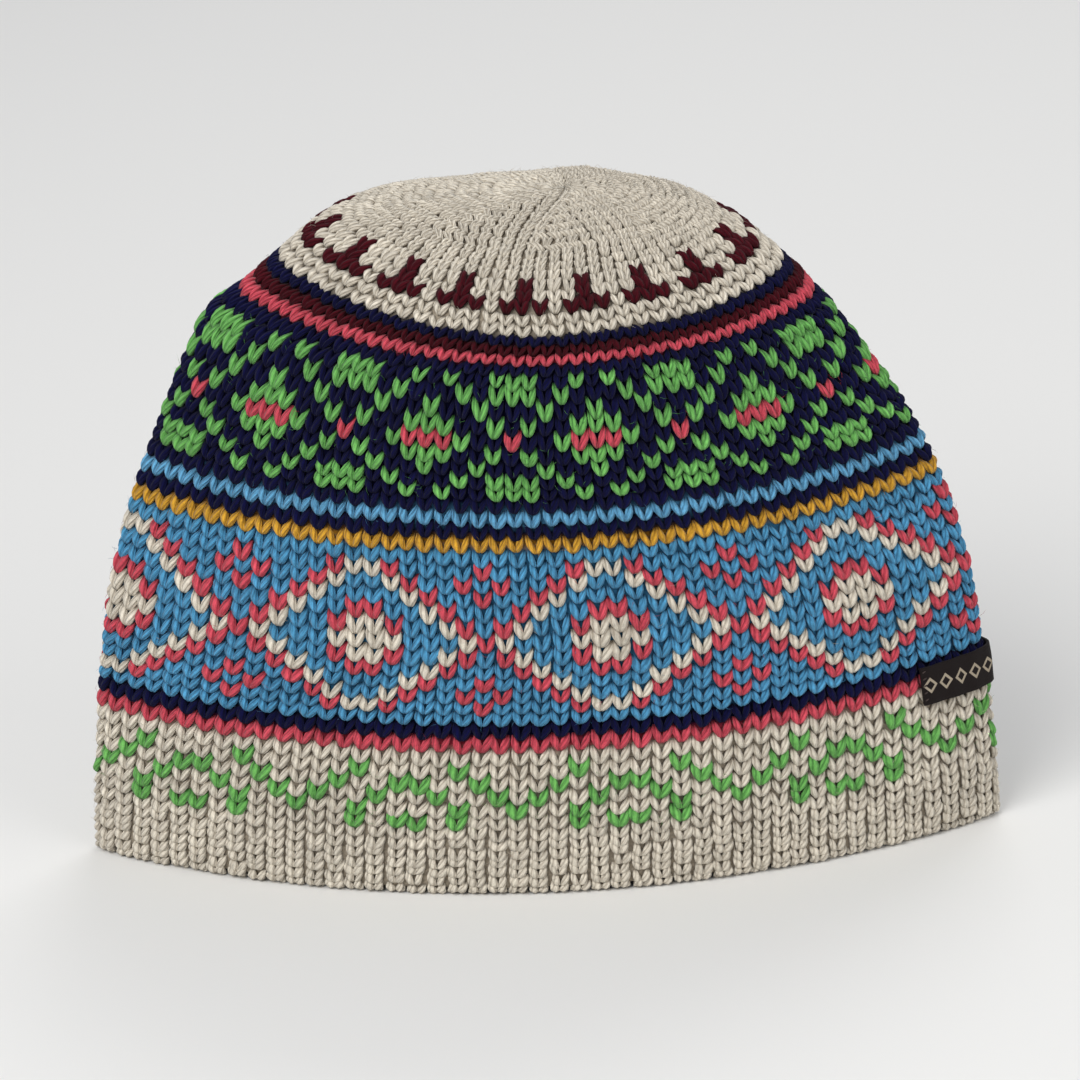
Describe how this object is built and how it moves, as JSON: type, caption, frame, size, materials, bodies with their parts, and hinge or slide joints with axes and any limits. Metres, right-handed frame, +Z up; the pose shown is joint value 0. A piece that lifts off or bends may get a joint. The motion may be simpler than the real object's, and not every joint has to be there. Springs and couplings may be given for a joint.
{
  "type": "knitted wool hat",
  "caption": "Knitted wool beanie, open below to take a head, with a domed crown, patterned bands all round and a woven label folded round its right side edge.",
  "frame": {"origin": "on the ground under the middle of the hat, standing on its hem", "axes": "+Z up towards the crown, -Y the front, +X the side edge with the label"},
  "size_m": [0.24, 0.114, 0.1762],
  "materials": {
    "wool_knit": "matt wool yarn, slightly fuzzy",
    "woven_label": "closely woven ribbon, slight sheen"
  },
  "bodies": {
    "root": {"knit_shell": "wool_knit", "label": "woven_label"}
  },
  "joints": []
}
